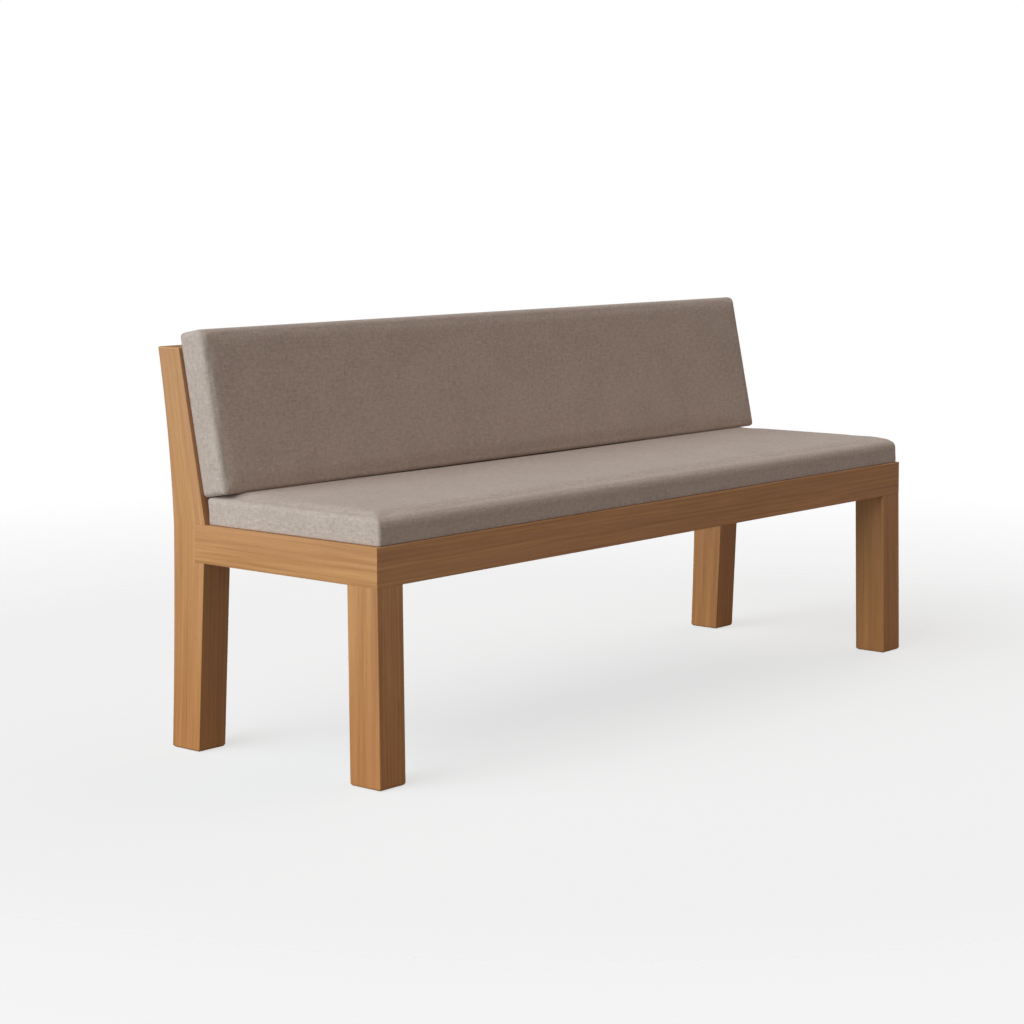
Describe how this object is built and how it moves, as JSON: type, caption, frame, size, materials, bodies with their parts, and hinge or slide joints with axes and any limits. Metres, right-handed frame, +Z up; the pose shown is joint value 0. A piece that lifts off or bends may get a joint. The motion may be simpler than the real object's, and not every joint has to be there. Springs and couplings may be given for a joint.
{
  "type": "church pew",
  "caption": "Free-standing hardwood church pew with square front legs, sabre-shaped rear posts, an upholstered seat pad and a raked upholstered back pad.",
  "frame": {"origin": "centre of the pew's bounding box, on the floor under the glides", "axes": "+X along the pew to the right of someone facing its front, -Y towards the front, +Z up"},
  "size_m": [1.6, 0.526, 0.7352],
  "materials": {
    "oak": "satin oiled solid hardwood, honey brown, straight grain",
    "panel_veneer": "satin veneered back panel",
    "plywood": "raw birch plywood",
    "foam": "matte upholstery foam",
    "wadding": "matte white polyester wadding",
    "cover_cloth": "matte heathered greige woven cloth",
    "lining": "matte black non-woven bottom cloth",
    "zinc_steel": "satin zinc plated steel",
    "bronzed_steel": "satin bronzed steel",
    "nylon": "matte brown nylon"
  },
  "bodies": {
    "root": {"front_rail": "oak", "side_rail_left": "oak", "side_rail_right": "oak", "rear_rail": "oak", "front_leg_left": "oak", "front_leg_right": "oak", "rear_post_left": "oak", "rear_post_right": "oak", "seat_bearer_left": "oak", "seat_bearer_centre": "oak", "seat_bearer_right": "oak", "top_back_rail": "oak", "lower_back_rail": "oak", "centre_back_stile": "oak", "back_panel_left": "panel_veneer", "back_panel_right": "panel_veneer", "seat_board": "plywood", "back_board": "plywood", "seat_foam": "foam", "back_foam": "foam", "seat_wadding": "wadding", "back_wadding": "wadding", "seat_cover": "cover_cloth", "back_cover": "cover_cloth", "seat_bottom_cloth": "lining", "back_bottom_cloth": "lining", "seat_pad_bolts": "zinc_steel", "seat_pad_tee_nuts": "zinc_steel", "back_pad_tee_nuts": "zinc_steel", "post_bolts": "zinc_steel", "post_bolt_washers": "zinc_steel", "front_leg_screws": "zinc_steel", "glide_screws": "zinc_steel", "back_pad_bolts": "bronzed_steel", "post_bolt_inserts": "bronzed_steel", "floor_glides": "nylon"}
  },
  "joints": []
}
